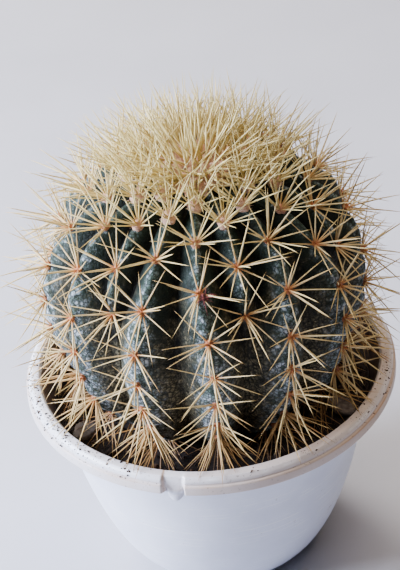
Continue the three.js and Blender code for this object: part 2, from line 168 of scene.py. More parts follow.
def close_seams(piece, gap=0.00002):
    """Merges the points that lie within a gap of each other, and turns all faces outwards."""
    with editing(piece):
        if gap:
            bpy.ops.mesh.remove_doubles(threshold=gap)
        bpy.ops.mesh.normals_make_consistent(inside=False)


def smooth(piece, degrees=180):
    pick(piece)
    bpy.ops.object.shade_smooth_by_angle(angle=math.radians(degrees))


def laid_copy(pattern, points, **values):
    """A copy of a pattern with its points laid elsewhere, and one value each for its attributes."""
    piece = pattern.copy()
    piece.data = pattern.data.copy()
    bpy.context.collection.objects.link(piece)
    lay_points(piece, points)
    for name, value in values.items():
        write_values(piece, name, value)
    return piece


def joined(name, pieces):
    pick(pieces[0])
    for piece in pieces:
        piece.select_set(True)
    bpy.ops.object.join()
    piece = bpy.context.object
    piece.name = name
    piece.data.name = name
    return piece


def laid_grid(name, points):
    """A grid primitive laid on points[across, down]. It closes where its edges meet."""
    across, down = points.shape[0] - 1, points.shape[1] - 1
    clear_selection()
    bpy.ops.mesh.primitive_grid_add(x_subdivisions=across, y_subdivisions=down, size=1)
    piece = new_piece(name)
    flat = points_of(piece)
    column = np.rint((flat[:, 0] + 0.5) * across).astype(int)
    row = np.rint((flat[:, 1] + 0.5) * down).astype(int)
    lay_points(piece, points[column, row] * MM)
    return piece, column, row


def dress(piece, material, replaces=()):
    piece.data.materials.clear()
    piece.data.materials.append(material)
    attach(piece, "root")
    if replaces:
        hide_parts(*replaces)
    return piece


def surface_tree(piece):
    return BVHTree.FromObject(piece, bpy.context.evaluated_depsgraph_get())


def polar(radius, azimuth, height):
    turn = math.radians(azimuth)
    return Vector((radius * math.sin(turn), -radius * math.cos(turn), height))


def on_circle(radius, turn, height):
    """Points at a radius, a turn in radians from the front, and a height."""
    return np.stack(np.broadcast_arrays(radius * np.sin(turn), -radius * np.cos(turn), height), axis=-1)


def smoothstep(low, high, value):
    share = np.clip((value - low) / (high - low), 0, 1)
    return share * share * (3 - 2 * share)


def relief(points, size, seed=0.0):
    """Smooth noise from -1 to 1 at each point, with lumps about size mm across."""
    shift = Vector((seed, 3.1 * seed, -1.7 * seed))
    return np.array([noise.noise(Vector(p) / size + shift) for p in points])


def uneven(points, lumps, seed):
    """The sum of several reliefs, each given as (height, width) in mm."""
    return sum(height * relief(points, width, seed + i) for i, (height, width) in enumerate(lumps))


# ------------------------------------------------------------------ outline of the globe
OUTLINE_END, OUTLINE_POINTS = 0.985 * math.pi, 1601     # where it stops short of the bottom, and how fine
UPPER_POINTS = 600                                      # of these, well above the equator


def outline_table():
    """The outline over the crests from the top down, as in the CAD source."""
    angle = np.linspace(0, OUTLINE_END, OUTLINE_POINTS)
    upper = angle <= math.pi / 2
    power = np.where(upper, UPPER_POWER, LOWER_POWER)
    tall = np.where(upper, UPPER_HEIGHT, LOWER_HEIGHT)
    r = GLOBE_RADIUS * np.sin(angle) ** (2 / power)
    z = EQUATOR + np.sign(np.cos(angle)) * tall * np.abs(np.cos(angle)) ** (2 / power)
    arc = np.concatenate([[0], np.cumsum(np.hypot(np.diff(r), np.diff(z)))])
    slope_r, slope_z = np.gradient(r, arc), np.gradient(z, arc)
    return {"arc": arc, "r": r, "z": z, "normal_r": -slope_z, "normal_z": slope_r}


OUTLINE = outline_table()


def outline_at(arc, what):
    return np.interp(arc, OUTLINE["arc"], OUTLINE[what])


def arc_at_height(z):
    return float(np.interp(-z, -OUTLINE["z"], OUTLINE["arc"]))


SOIL_ARC = arc_at_height(SOIL_TOP)
UPPER_RADIUS, UPPER_ARC = OUTLINE["r"][:UPPER_POINTS], OUTLINE["arc"][:UPPER_POINTS]
FIRST_ARC = float(np.interp(CROWN_SEAT_RADIUS, UPPER_RADIUS, UPPER_ARC))


def leaned(points):
    """The whole plant leans a little, back and to the right."""
    rise = np.maximum(points[..., 2] - SOIL_TOP, 0)
    return points + np.stack([LEAN_X * rise, LEAN_Y * rise, 0 * rise], axis=-1)


# ------------------------------------------------------------------ ribs
SHORT_RIB_LEAST = 0.07
FURROW_AT_ENDS, FURROW_MORE = 3, 12


def top_share(z):
    """1 at the top, where all the ribs are, and 0 at the base, where the short ones have died out."""
    return 1 / (1 + np.exp((BRANCH_HEIGHT - z) / BRANCH_BLEND))


def is_short(rib):
    return rib <= LAST_RIB and rib % 3 == 1


def rib_azimuth(rib, z):
    if rib > LAST_RIB:
        return rib_azimuth(rib - TOP_RIBS, z) + 360
    group = rib // 3
    base_place = 2 * group + (rib - 3 * group) / 2
    top = TOP_TURN + 360 / TOP_RIBS * rib
    base = BASE_TURN + 360 / BASE_RIBS * base_place
    return base + (top - base) * top_share(z)


def rib_strength(rib, z):
    """How far a rib stands out: 1, but a short rib dies out downwards."""
    return np.maximum(top_share(z), SHORT_RIB_LEAST) if is_short(rib) else np.ones_like(z)


def furrow_depth(arc):
    share = np.clip((arc - FIRST_ARC) / (SOIL_ARC + 8 - FIRST_ARC), 0, 1)
    return FURROW_AT_ENDS + FURROW_MORE * np.sin(math.pi * share) ** 0.8


def on_skin(arc, azimuth, height, lift=0.0):
    """Points of the skin: height is 1 on the crest of a full rib and 0 in a furrow; lift is outwards."""
    sunk = furrow_depth(arc) * (1 - height) - lift
    radius = outline_at(arc, "r") - outline_at(arc, "normal_r") * sunk
    z = outline_at(arc, "z") - outline_at(arc, "normal_z") * sunk
    turn = np.radians(azimuth)
    return leaned(on_circle(radius, turn, z))


# ------------------------------------------------------------------ areoles: where the spines grow
# the arc lengths of the first areoles that the photograph shows, then the rule for the steps between areoles
FIRST_AREOLE = {-3: 35, -1: 40, 0: 32, 1: 45, 2: 39, 3: 30.5, 4: 41.5}
AREOLE_STEP, STEP_EXTRA, STEP_AT, STEP_SPREAD = 17.8, 9, 66, 38
SHORT_RIB_LAST_AREOLE = 100
LOWEST_AREOLE = arc_at_height(SOIL_TOP + 5)
NOTCH_DEPTH, NOTCH_SPAN = 1.9, 5.5      # the dip in a crest where an areole sits


def areole_arcs(rib):
    last = SHORT_RIB_LAST_AREOLE if is_short(rib) else LOWEST_AREOLE
    arc = FIRST_AREOLE.get(rib, 27 if rib % 2 == 0 else 37)
    arcs = []
    while arc <= last:
        arcs.append(arc)
        arc += AREOLE_STEP + STEP_EXTRA * math.exp(-(((arc - STEP_AT) / STEP_SPREAD) ** 2))
    return arcs


class Areole:
    """The felt pad's place on a rib, with the directions outwards, down the rib and across it."""

    def __init__(self, rib, arc):
        z = float(outline_at(arc, "z"))
        azimuth = float(rib_azimuth(rib, np.float64(z)))
        strength = float(rib_strength(rib, np.float64(z)))
        self.centre = Vector(on_skin(np.float64(arc), azimuth, strength, -NOTCH_DEPTH))
        below = Vector(on_skin(np.float64(arc + 2), azimuth, strength))
        above = Vector(on_skin(np.float64(arc - 2), azimuth, strength))
        outward = polar(1, azimuth, 0)
        self.down = (below - above).normalized()
        self.across = outward.cross(self.down).normalized()
        self.normal = self.down.cross(self.across).normalized()
        if self.normal.dot(outward) + self.normal.z * 0.5 < 0:
            self.normal.negate()
        self.age = (arc - FIRST_ARC) / (SOIL_ARC - FIRST_ARC)
        self.rib = rib
        self.arc = arc


# ------------------------------------------------------------------ stem
FLANK_STEPS = 8
SKIN_ROWS = 150
FLANK_POWER = 1.4
SKIN_LUMPS = ((0.75, 13), (0.28, 4.5), (0.14, 2.2))


def rib_columns(arc):
    """Azimuth, height, millimetres from the crest and rib of each column of the skin, row by row."""
    z, radius = outline_at(arc, "z"), outline_at(arc, "r")
    for rib in RIBS:
        crest, following = rib_azimuth(rib, z), rib_azimuth(rib + 1, z)
        mine, other = rib_strength(rib, z), rib_strength(rib + 1, z)
        furrow = crest + (following - crest) * mine / (mine + other)
        for step in range(2 * FLANK_STEPS):
            share = step / FLANK_STEPS
            if share < 1:
                here = crest + (furrow - crest) * share
                yield here, mine * (1 - share ** FLANK_POWER), radius * np.radians(here - crest), rib
            else:
                here = furrow + (following - furrow) * (share - 1)
                height = other * (1 - (2 - share) ** FLANK_POWER)
                yield here, height, radius * np.radians(following - here), rib + 1


def foot_profile(room=0, gap=0):
    """The buried foot and root from the skin down, wider by room and deeper by gap."""
    foot_floor, root_floor = SOIL_TOP - FOOT_DROP - gap, SOIL_TOP - ROOT_DROP - gap
    return [(FOOT_RADIUS + room, foot_floor), (ROOT_TOP_RADIUS + room, foot_floor),
            (ROOT_BOTTOM_RADIUS + room, root_floor), (0, root_floor)]


def make_stem(material):
    arc = np.linspace(0.4, SOIL_ARC, SKIN_ROWS)
    columns = list(rib_columns(arc))
    columns.append(columns[0])
    ridge = np.array([height for _, height, _, _ in columns])
    aside = np.array([gap for _, _, gap, _ in columns])
    points = []
    for azimuth, height, _, rib in columns:
        home = rib - TOP_RIBS if rib > LAST_RIB else rib
        notch = sum(np.exp(-(((arc - at) / NOTCH_SPAN) ** 2)) for at in areole_arcs(home))
        fade = smoothstep(FIRST_ARC - 8, FIRST_ARC + 6, arc)
        dip = NOTCH_DEPTH * notch * height ** 3 * fade
        points.append(on_skin(arc, azimuth, 1 - (1 - height) * fade, -dip))
    points = np.array(points)
    flat = points[:-1].reshape(-1, 3)
    outward = flat - np.array([0, 0, EQUATOR])
    outward /= np.linalg.norm(outward, axis=1, keepdims=True)
    flat = flat + outward * uneven(flat, SKIN_LUMPS, 1)[:, None]
    points[:-1] = flat.reshape(points[:-1].shape)
    points[-1] = points[0]
    count = len(columns)
    turn = np.radians([float(column[0][-1]) for column in columns])
    rows = [on_circle(r, turn, z) for r, z in foot_profile()]
    top = leaned(np.tile([0.0, 0.0, outline_at(0, "z")], (count, 1)))
    points = np.concatenate([top[:, None], points, np.stack(rows, axis=1)], axis=1)
    stem, column, row = laid_grid("stem_skin", points)
    skin_row = np.clip(row - 1, 0, SKIN_ROWS - 1)
    write_values(stem, "ridge", ridge[column, skin_row])
    write_values(stem, "aside", aside[column, skin_row])
    write_values(stem, "age", (arc[skin_row] - FIRST_ARC) / (SOIL_ARC - FIRST_ARC))
    close_seams(stem)
    smooth(stem)
    return dress(stem, material, ["cactus_stem"])


# ------------------------------------------------------------------ spines
def spine_pattern():
    """One spine, 1 long and 1 wide, swollen at its foot and drawn out to a point."""
    clear_selection()
    bpy.ops.mesh.primitive_cone_add(vertices=5, radius1=0.5, radius2=0, depth=1, location=(0, 0, 0.5))
    spine = new_piece("spine_pattern")
    widths = {0.0: 1.3, 0.07: 1.0, 0.32: 0.9, 0.6: 0.68, 0.84: 0.36}
    with editing(spine):
        for height in list(widths)[1:]:
            bpy.ops.mesh.select_all(action="SELECT")
            bpy.ops.mesh.bisect(plane_co=(0, 0, height), plane_no=(0, 0, 1))
    points = points_of(spine)
    heights = np.array(list(widths) + [1.0])
    wanted = np.array(list(widths.values()) + [0.0])
    current = np.maximum(1 - points[:, 2], 1e-6)
    points[:, :2] *= (np.interp(points[:, 2], heights, wanted) / current)[:, None]
    points[points[:, 2] > 0.999, :2] = 0
    lay_points(spine, points)
    write_values(spine, "along", points[:, 2])
    write_values(spine, "tone", 0)
    write_values(spine, "youth", 0)
    close_seams(spine, 0.0001)
    smooth(spine)
    return spine


class Spine:
    """A spine before it is modelled: a root, a direction, a length, a width and the sag of its tip."""

    def __init__(self, root, direction, length, width, bend, tone, youth):
        self.root = root
        self.direction = direction.normalized()
        self.length = length
        self.width = width
        self.bend = bend
        self.tone = tone
        self.youth = youth

    def at(self, share):
        return self.root + self.direction * (share * self.length) + self.bend * (share * share)

    def model(self, pattern, pattern_points):
        side = self.direction.orthogonal().normalized()
        other = self.direction.cross(side)
        along = pattern_points[:, 2:3]
        points = (
            np.array(self.root)
            + pattern_points[:, 0:1] * self.width * np.array(side)
            + pattern_points[:, 1:2] * self.width * np.array(other)
            + along * self.length * np.array(self.direction)
            + along ** 2 * np.array(self.bend)
        )
        return laid_copy(pattern, points * MM, tone=self.tone, youth=self.youth)


OUT_OF_BOX = 2.5        # how far the tips may pass the CAD model's box
BOX_LOW = np.array(cad_box[0]) / MM - OUT_OF_BOX
BOX_HIGH = np.array(cad_box[1]) / MM + OUT_OF_BOX
FOOT_SPINES, FURROW_FIBRES = 16, 7      # at the foot of each long rib
PAD_HAIRS = 46
FLOWER_SHREDS = 22


def is_clear(spine, obstacles):
    """True if nothing solid lies between a spine's foot and its tip."""
    stops = (0.16, 0.4, 0.7, 1.0)
    for start, end in zip(stops, stops[1:]):
        here, there = spine.at(start) * MM, spine.at(end) * MM
        step = there - here
        for tree in obstacles:
            if tree.ray_cast(here, step.normalized(), step.length * 1.02)[0] is not None:
                return False
    return True


def fits_box(spine):
    tip = np.array(spine.at(1))
    return bool(np.all(tip > BOX_LOW) and np.all(tip < BOX_HIGH))


def settle(spine, lift, obstacles):
    """A spine turned step by step towards lift until it is clear, then shortened to fit the part's box.

    A spine that finds no room gives None.
    """
    for _ in range(24):
        if is_clear(spine, obstacles):
            break
        spine.direction = (spine.direction + lift * 0.09 + draw_vector(0.05)).normalized()
    else:
        return None
    while not fits_box(spine):
        spine.length *= 0.95
        spine.bend *= 0.9
    return spine


def draw_vector(size):
    return Vector([draw.uniform(-size, size) for _ in range(3)])


def compass(areole, angle, tilt):
    """A direction at a compass angle round the pad, 0 down the rib, tilted away from straight out."""
    turn, lean_out = math.radians(angle), math.radians(tilt)
    flat = areole.down * math.cos(turn) + areole.across * math.sin(turn)
    return areole.normal * math.cos(lean_out) + flat * math.sin(lean_out)


# how far the spines of an areole tilt out from it, in degrees, and how long they are
STRAIGHT_TILT, STRAIGHT_LENGTH = (4, 22), (26, 31)
SPREADING_TILT, SPREADING_LENGTH = (28, 54), (27, 33)
OUTER_TILT, OUTER_LENGTH = (54, 79), (22, 30)
STOUT, THIN = 1.08, 0.8         # widths


def areole_spines(areole, obstacles):
    """One straight and four spreading stout central spines, with eight to nineteen thin ones around."""
    droop = float(smoothstep(0.6, 0.92, areole.age))
    youth = float(1 - smoothstep(0.05, 0.34, areole.age))
    start = draw.uniform(-20, 20)
    plan = [(start, draw.uniform(*STRAIGHT_TILT), draw.uniform(*STRAIGHT_LENGTH) + 3 * youth, STOUT)]
    for i in range(4):
        tilt = draw.uniform(*SPREADING_TILT) - 6 * youth
        length = draw.uniform(*SPREADING_LENGTH) + 4 * youth
        plan.append((start + 90 * i + draw.uniform(-14, 14), tilt, length, STOUT))
    beside = float(smoothstep(45, 80, abs(rib_azimuth(areole.rib, areole.centre.z))))
    extra = round(3 * youth + 4 * droop + 2 * beside + 4 * youth * beside)
    thin_ones = draw.choice((8, 9, 10)) + extra
    for i in range(thin_ones):
        angle = start + 22 + 360 / thin_ones * i + draw.uniform(-10, 10)
        tilt = draw.uniform(*OUTER_TILT) - 12 * youth
        length = draw.uniform(*OUTER_LENGTH) + (4 + 3 * beside) * youth + 2 * droop
        plan.append((angle, tilt, length, THIN + 0.1 * youth))
    spines = []
    for angle, tilt, length, width in plan:
        angle = (angle + 180) % 360 - 180
        angle *= 1 - 0.45 * droop
        tilt -= 12 * droop
        direction = compass(areole, angle, tilt)
        direction.z += 0.45 * youth - 0.35 * droop
        root = areole.centre + direction * 0.6
        curve = draw.uniform(0, 0.04) + (0.08 if width > 1 and abs(angle) < 40 else 0)
        bend = (areole.down * curve + draw_vector(0.035)) * length
        # lower spines get a darker tan: partly their own older colour, partly painted shade at the shaded
        # foot of the plant; the rest of the tone varies at random
        shade = 0.9 * droop + draw.uniform(-0.25, 0.45)
        spine = Spine(root, direction, length, width * draw.uniform(0.85, 1.1), bend, shade, youth)
        spines.append(settle(spine, areole.normal + Vector((0, 0, 0.8)), obstacles))
    return spines


def foot_spines(rib, obstacles):
    """Old brown spines in a loose heap at the foot of a rib, left where the lowest pads have gone."""
    spines = []
    for _ in range(FOOT_SPINES):
        areole = Areole(rib, SOIL_ARC - draw.uniform(1, 13))
        tilt = draw.uniform(45, 84)
        heading = compass(areole, draw.gauss(0, 48), tilt)
        root = areole.centre + heading * 0.5
        length = draw.uniform(15, 26)
        width, bend = draw.uniform(0.6, 0.9), draw_vector(0.06) * length
        spine = Spine(root, heading, length, width, bend, draw.uniform(0.8, 1.6), 0)
        spines.append(settle(spine, areole.normal + Vector((0, 0, 1.2)), obstacles))
    return spines


def furrow_fibres(rib, obstacles):
    """Thin dry brown roots that climb out of the soil into the furrow beside a rib."""
    fibres = []
    side = draw.choice((0.32, 0.4))
    for _ in range(FURROW_FIBRES):
        arc = SOIL_ARC - draw.uniform(0, 9)
        z = outline_at(arc, "z")
        azimuth = rib_azimuth(rib, z) + 360 / BASE_RIBS * (side + draw.uniform(0, 0.28))
        foot = Vector(on_skin(arc, azimuth, 0.1, 1.2))
        outward = polar(1, azimuth, 0)
        heading = Vector((0, 0, 1)) + outward * draw.uniform(0.1, 0.45) + draw_vector(0.28)
        length = draw.uniform(10, 21)
        width, bend = draw.uniform(0.35, 0.5), draw_vector(0.12) * length
        fibres.append(settle(Spine(foot, heading, length, width, bend, 1.6, 0), outward, obstacles))
    return fibres


def modelled(spines, pattern):
    """A piece for each spine that found room."""
    pattern_points = points_of(pattern)
    return [spine.model(pattern, pattern_points) for spine in spines if spine]


def model_spines(name, spines, pattern, material, replaces=()):
    return dress(joined(name, modelled(spines, pattern)), material, replaces)


# ------------------------------------------------------------------ felt pads
def pad_pattern():
    """A felt pad, 1 in every direction, with short hairs standing out of it."""
    clear_selection()
    bpy.ops.mesh.primitive_ico_sphere_add(subdivisions=3, radius=1)
    ball = new_piece("pad_ball")
    clear_selection()
    bpy.ops.mesh.primitive_cone_add(vertices=3, radius1=0.05, radius2=0, depth=0.6, location=(0, 0, 0.3))
    hair = new_piece("pad_hair")
    hair_points = points_of(hair)
    hairs = []
    for i in range(PAD_HAIRS):
        rise = 1 - 0.95 * (i + 0.5) / PAD_HAIRS
        out = Vector(polar(math.sqrt(1 - rise * rise), i * GOLDEN_ANGLE, rise))
        turn = np.array((out + draw_vector(0.45)).to_track_quat("Z", "Y").to_matrix())
        points = (hair_points * [1, 1, draw.uniform(0.6, 1.25)]) @ turn.T + np.array(out) * 0.9
        hairs.append(laid_copy(hair, points))
    bpy.data.objects.remove(hair)
    pad = joined("pad_pattern", [ball] + hairs)
    write_values(pad, "youth", 0)
    smooth(pad)
    return pad


def model_pads(areoles, pattern, material):
    pattern_points = points_of(pattern)
    pads = []
    for areole in areoles:
        youth = float(1 - smoothstep(0.03, 0.24, areole.age))
        width, length, height = 1.9 + 1.9 * youth, 2.4 + 2.2 * youth, 1.5 + 3.0 * youth
        seed = areole.rib * 7.7 + areole.arc
        knobs = 1 + 0.2 * relief(pattern_points, 0.55, seed) + 0.1 * relief(pattern_points, 0.25, seed)
        shape = pattern_points * knobs[:, None]
        points = (
            np.array(areole.centre + areole.normal * (0.35 + 0.9 * youth))
            + shape[:, 0:1] * width * np.array(areole.across)
            + shape[:, 1:2] * length * np.array(areole.down)
            + shape[:, 2:3] * height * np.array(areole.normal)
        )
        pads.append(laid_copy(pattern, points * MM, youth=youth))
    return dress(joined("felt_pads", pads), material)


def withered_flower(areole, pattern, pad, material):
    """The dried remnant of a flower that still hangs beside one pad: a dark knob with curled shreds."""
    middle = areole.centre + areole.across * 2.2 + areole.down * 2.0 + areole.normal * 3.2
    knob = laid_copy(pad, (np.array(middle) + points_of(pad) * np.array([1.5, 1.5, 1.9])) * MM)
    shreds = []
    for _ in range(FLOWER_SHREDS):
        heading = areole.across * draw.uniform(-0.5, 1) + areole.down * draw.uniform(-0.5, 1)
        heading += draw_vector(0.5)
        length, width = draw.uniform(3.0, 6.5), draw.uniform(0.5, 1.0)
        shreds.append(Spine(middle, heading, length, width, draw_vector(0.5) * length, 0, 0))
    return dress(joined("withered_flower", [knob] + modelled(shreds, pattern)), material)


# ------------------------------------------------------------------ crown
CROWN_TUFTS, TUFT_SPINES = 46, 6
CROWN_LEAN = 70         # degrees that the outermost tufts lean out
CROWN_LENGTH, CROWN_WIDTH = (20, 37), (1.25, 1.75)
CROWN_SEAT = float(outline_at(FIRST_ARC, "z"))
CROWN_AXIS = Vector(leaned(np.array([0.0, 0.0, CROWN_SEAT])))
WOOL_RADIUS, WOOL_HEIGHT = 23, 7


def crown_place(tuft):
    """The foot of a tuft of the crown, and how far out it is, from 0 to 1."""
    share = math.sqrt((tuft + 0.5) / CROWN_TUFTS)
    height = CROWN_SEAT - 2.5 + WOOL_HEIGHT * math.sqrt(1 - 0.85 * share * share)
    foot = polar((WOOL_RADIUS - 1.5) * share, tuft * GOLDEN_ANGLE, height)
    return foot + Vector((CROWN_AXIS.x, CROWN_AXIS.y, 0)), share


def make_wool(pattern, material):
    """A dome of wool with a hairy lump for each tuft of spines."""
    clear_selection()
    bpy.ops.mesh.primitive_uv_sphere_add(segments=72, ring_count=36, radius=1)
    wool = new_piece("crown_wool")
    points = points_of(wool)
    lumps = 1 + 0.1 * relief(points, 0.3, 5.0) + 0.06 * relief(points, 0.12, 6.0)
    points = points * lumps[:, None] * np.array([WOOL_RADIUS, WOOL_RADIUS, WOOL_HEIGHT])
    lay_points(wool, (points + np.array([CROWN_AXIS.x, CROWN_AXIS.y, CROWN_SEAT - 1.5])) * MM)
    write_values(wool, "youth", 1)
    smooth(wool)
    pattern_points = points_of(pattern)
    parts = [wool]
    for tuft in range(CROWN_TUFTS):
        foot, _ = crown_place(tuft)
        size = np.array([draw.uniform(2.6, 3.6), draw.uniform(2.6, 3.6), draw.uniform(2.6, 3.8)])
        points = pattern_points * size + np.array(foot) + np.array([0, 0, 1.2])
        parts.append(laid_copy(pattern, points * MM, youth=1))
    return dress(joined("crown_wool", parts), material)


def crown_spines(obstacles):
    """Tufts of young spines over the wool, upright in the middle and leaning out at the edge."""
    spines = []
    for tuft in range(CROWN_TUFTS):
        foot, share = crown_place(tuft)
        outward = polar(1, tuft * GOLDEN_ANGLE, 0)
        lean = math.radians(CROWN_LEAN * share)
        axis = outward * math.sin(lean) + Vector((0, 0, math.cos(lean)))
        reach = draw.uniform(0.82, 1.08)
        for _ in range(TUFT_SPINES):
            heading = axis + draw_vector(0.5)
            root = foot + draw_vector(0.8)
            length = draw.uniform(*CROWN_LENGTH) * reach
            bend = draw_vector(0.04) * length
            width = draw.uniform(*CROWN_WIDTH)
            spine = Spine(root, heading, length, width, bend, draw.uniform(-0.4, 0.9), 1)
            spines.append(settle(spine, Vector((0, 0, 1)), obstacles))
    return spines


# ------------------------------------------------------------------ pot
POT_SIDES = 600


def turned(name, profile, sides):
    """A ring drawn at the first point of a profile, then extruded and resized from point to point."""
    radius, height = profile[0]
    clear_selection()
    bpy.ops.mesh.primitive_circle_add(vertices=sides, radius=radius * MM, location=(0, 0, height * MM))
    piece = new_piece(name)
    with editing(piece):
        bpy.ops.mesh.extrude_region_move()
        bpy.ops.mesh.merge(type="CENTER")
    outer = np.hypot(points_of(piece)[:, 0], points_of(piece)[:, 1]) > 0.5 * radius * MM
    piece.data.vertices.foreach_set("select", outer)
    with editing(piece, everything=False):
        for next_radius, next_height in profile[1:]:
            rise = (next_height - height) * MM
            bpy.ops.mesh.extrude_region_move(TRANSFORM_OT_translate={"value": (0, 0, rise)})
            share = next_radius / radius
            bpy.ops.transform.resize(value=(share, share, 1), center_override=(0, 0, next_height * MM))
            radius, height = next_radius, next_height
        bpy.ops.mesh.extrude_region_move()
        bpy.ops.mesh.merge(type="CENTER")
    close_seams(piece, 0.000005)
    return piece


def bowl(inset, steps):
    """The pot's side below its shoulder, from the base up, moved inwards by inset."""
    knots = np.array([(BASE_RADIUS, 0), (61, 4), (74, 44), (SHOULDER_RADIUS, SHOULDER_HEIGHT)], dtype=float)
    points = []
    for share in np.linspace(0, 1, steps):
        rest = 1 - share
        weights = np.array([rest ** 3, 3 * rest ** 2 * share, 3 * rest * share ** 2, share ** 3])
        both = 2 * rest * share
        slopes = np.array([-rest ** 2, rest ** 2 - both, both - share ** 2, share ** 2])
        along = slopes @ knots
        along /= np.linalg.norm(along)
        r, z = weights @ knots
        points.append((r - along[1] * inset, z + (inset if share == 0 else along[0] * inset)))
    return points


def rounded(corner, before, after, radius, steps=4):
    """The points of a round corner between two straight runs of a profile."""
    corner, before, after = (Vector(p) for p in (corner, before, after))
    start = corner + (before - corner).normalized() * radius
    end = corner + (after - corner).normalized() * radius
    points = []
    for i in range(steps + 1):
        share = i / steps
        points.append(tuple(start * (1 - share) ** 2 + corner * 2 * share * (1 - share) + end * share ** 2))
    return points


WALL_TOP = POT_HEIGHT - 4.5             # where the side meets the rim
WALL_TOP_RADIUS = RIM_INNER_RADIUS - 0.7
TONGUE_TIP = POT_HEIGHT - TAB_DROP
TONGUE_ROOT = 117
TONGUE_CURL = 2.6                       # how far its edges turn inwards
CREASE = POT_HEIGHT - BAND_DROP
SKIRT = POT_HEIGHT - SKIRT_DROP
# the rim's corners from the wall outwards and back over the top: on the plain rim, inside a notch, the
# radius of the corner, and the steps that round it
RIM_CORNERS = [
    ((RIM_RADIUS - 4.3, POT_HEIGHT - 2.4), (93.4, 117.6), 0.5, 2),
    ((RIM_RADIUS - 2.0, CREASE - 1.4), (94.8, 114.4), 0.5, 2),
    ((RIM_RADIUS - 1.3, SKIRT), (95.0, TONGUE_TIP), 0.5, 2),
    ((RIM_RADIUS + 0.3, SKIRT), (96.7, TONGUE_TIP), 0.8, 4),
    ((RIM_RADIUS + 0.1, CREASE - 0.4), (97.0, 112.4), 1.0, 5),
    ((RIM_RADIUS - 1.3, CREASE + 0.1), (96.9, 115.2), 0.3, 2),
    ((RIM_RADIUS - 1.2, CREASE + 2.0), (96.9, 118.2), 0.9, 4),
    ((BAND_TOP_RADIUS, POT_HEIGHT - 0.2), (96.2, 121.4), 0.9, 5),
    ((RIM_INNER_RADIUS, POT_HEIGHT), (RIM_INNER_RADIUS, POT_HEIGHT), 0.8, 5),
]


def pot_profile(part):
    """The pot's outline from its foot, up outside, over the rim and down inside. Part 1 is in a notch."""
    underside = [(2, 1.2), (6, 1.2), (6.5, 0.8), (36, 0.8), (38, 0.0)]
    shares = np.linspace(0, 1, 8)
    taper = [(SHOULDER_RADIUS + (WALL_TOP_RADIUS + 0.4 - SHOULDER_RADIUS) * share,
              SHOULDER_HEIGHT + (WALL_TOP - SHOULDER_HEIGHT) * share) for share in shares[1:]]
    inside_top = (WALL_TOP_RADIUS - WALL, WALL_TOP)
    inside_taper = [(inside_top[0] - (WALL_TOP_RADIUS - SHOULDER_RADIUS) * share,
                     WALL_TOP - (WALL_TOP - SHOULDER_HEIGHT) * share) for share in shares[:-1]]
    corners = [taper[-1]] + [corner[part] for corner in RIM_CORNERS] + [inside_top]
    rim = []
    for i, (_, _, radius, steps) in enumerate(RIM_CORNERS):
        rim += rounded(corners[i + 1], corners[i], corners[i + 2], radius, steps)
    return underside + bowl(0, 16) + taper + rim + inside_taper + bowl(WALL, 12)[::-1] + [(4, WALL)]


def crowd_to_notches(azimuth):
    """Moves the pot's columns towards the two sides of each notch, where the rim turns sharply."""
    for middle in NOTCH_AZIMUTHS:
        gap = (azimuth - middle + 180) % 360 - 180
        closer = np.interp(np.abs(gap), [0, 2, 7, 12], [0, 2.2, 4.2, 12])
        azimuth = np.where(np.abs(gap) < 12, middle + np.sign(gap) * closer, azimuth)
    return azimuth


def make_pot(material):
    pot = turned("pot_body", pot_profile(0), POT_SIDES)
    points = points_of(pot) / MM
    radius, z = np.hypot(points[:, 0], points[:, 1]), points[:, 2].copy()
    azimuth = crowd_to_notches(np.degrees(np.arctan2(points[:, 0], -points[:, 1])))
    plain, notched = np.array(pot_profile(0)), np.array(pot_profile(1))
    row = np.argmin((radius[:, None] - plain[:, 0]) ** 2 + (z[:, None] - plain[:, 1]) ** 2, axis=1)
    on_rim = np.any(np.abs(plain - notched) > 0.001, axis=1)[row]
    inner_face = (radius < inner_wall_radius(z) + 0.9) & (z > SOIL_TOP - 8)
    # tan water stain: in the crease, on the skirt and, more faintly, on the flat of the band
    stain_and_shade = 0.7 * np.exp(-(((z - CREASE) / 0.8) ** 2)) * (radius > RIM_RADIUS - 2)
    stain_and_shade += 0.5 * ((z < CREASE - 0.4) & (z > SKIRT - 0.5) & (radius > RIM_RADIUS - 0.6))
    stain_and_shade += 0.35 * ((z > POT_HEIGHT - 0.6) & (radius < BAND_TOP_RADIUS))
    soil_mark = inner_face * (1 - 0.35 * smoothstep(POT_HEIGHT - 8, POT_HEIGHT, z))
    half = TAB_WIDTH / 2
    level = notched[row, 1]
    for middle in NOTCH_AZIMUTHS:
        across = radius * np.sin(np.radians(azimuth - middle))
        near = np.cos(np.radians(azimuth - middle)) > 0
        share = (1 - smoothstep(NOTCH_WIDTH / 2 - 1.3, NOTCH_WIDTH / 2 + 0.9, np.abs(across))) * near * on_rim
        lift = half - np.sqrt(np.maximum(half ** 2 - across ** 2, 0))
        curl = TONGUE_CURL * np.minimum(np.abs(across) / half, 1) ** 2 * smoothstep(0, 8, 115 - level)
        tall = TONGUE_ROOT - TONGUE_TIP
        drop = np.maximum(TONGUE_ROOT - level, 0) * (tall - lift) / tall
        sunk = np.where(level < TONGUE_ROOT, TONGUE_ROOT - drop, level)
        radius = radius + (notched[row, 0] - plain[row, 0] - curl) * share
        z = z + (sunk - plain[row, 1]) * share
        # painted shade: a brown line on the end face at the left side of each notch, which faces away from
        # the window
        stain_and_shade = np.maximum(stain_and_shade * (1 - 0.7 * share), 5.5 * share * (1 - share) * (across < 0))
    lay_points(pot, on_circle(radius, np.radians(azimuth), z) * MM)
    write_values(pot, "stain_and_shade", stain_and_shade)
    write_values(pot, "soil_mark", soil_mark)
    close_seams(pot, 0)
    smooth(pot, 42)
    return dress(pot, material, ["pot"])


